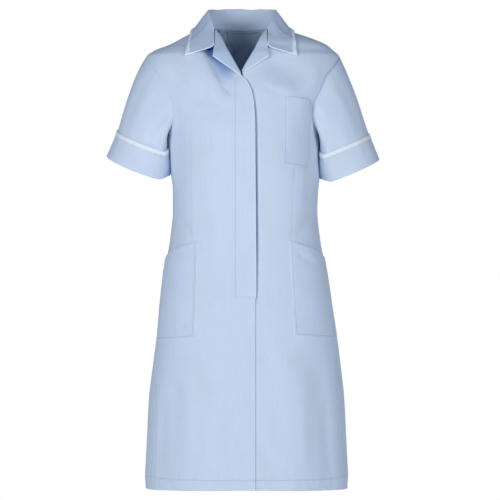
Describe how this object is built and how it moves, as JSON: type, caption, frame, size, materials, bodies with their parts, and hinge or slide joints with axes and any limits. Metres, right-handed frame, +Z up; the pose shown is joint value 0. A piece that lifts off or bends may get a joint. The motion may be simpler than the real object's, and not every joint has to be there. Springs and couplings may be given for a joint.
{
  "type": "nurse uniform dress",
  "caption": "Short-sleeved knee-length uniform dress with open revere collar, concealed front placket, turned-up cuffs and patch pockets, held in its hollow worn form.",
  "frame": {"origin": "middle of the neck, at the height where the dress hangs on the wearer's shoulders", "axes": "+Z up, -Y the front of the dress, +X the wearer's left"},
  "size_m": [0.5629, 0.2622, 0.9968],
  "materials": {
    "cloth": "light blue plain-woven poly-cotton, matt with a slight sheen",
    "tape": "white woven flat tape, matt"
  },
  "bodies": {
    "root": {"front_right": "cloth", "front_left": "cloth", "placket": "cloth", "back": "cloth", "sleeve_right": "cloth", "cuff_right": "cloth", "cuff_tape_right": "tape", "sleeve_left": "cloth", "cuff_left": "cloth", "cuff_tape_left": "tape", "collar": "cloth", "collar_tape": "tape", "lapel_right": "cloth", "lapel_left": "cloth", "chest_pocket": "cloth", "hip_pocket_right": "cloth", "hip_pocket_left": "cloth"}
  },
  "joints": []
}
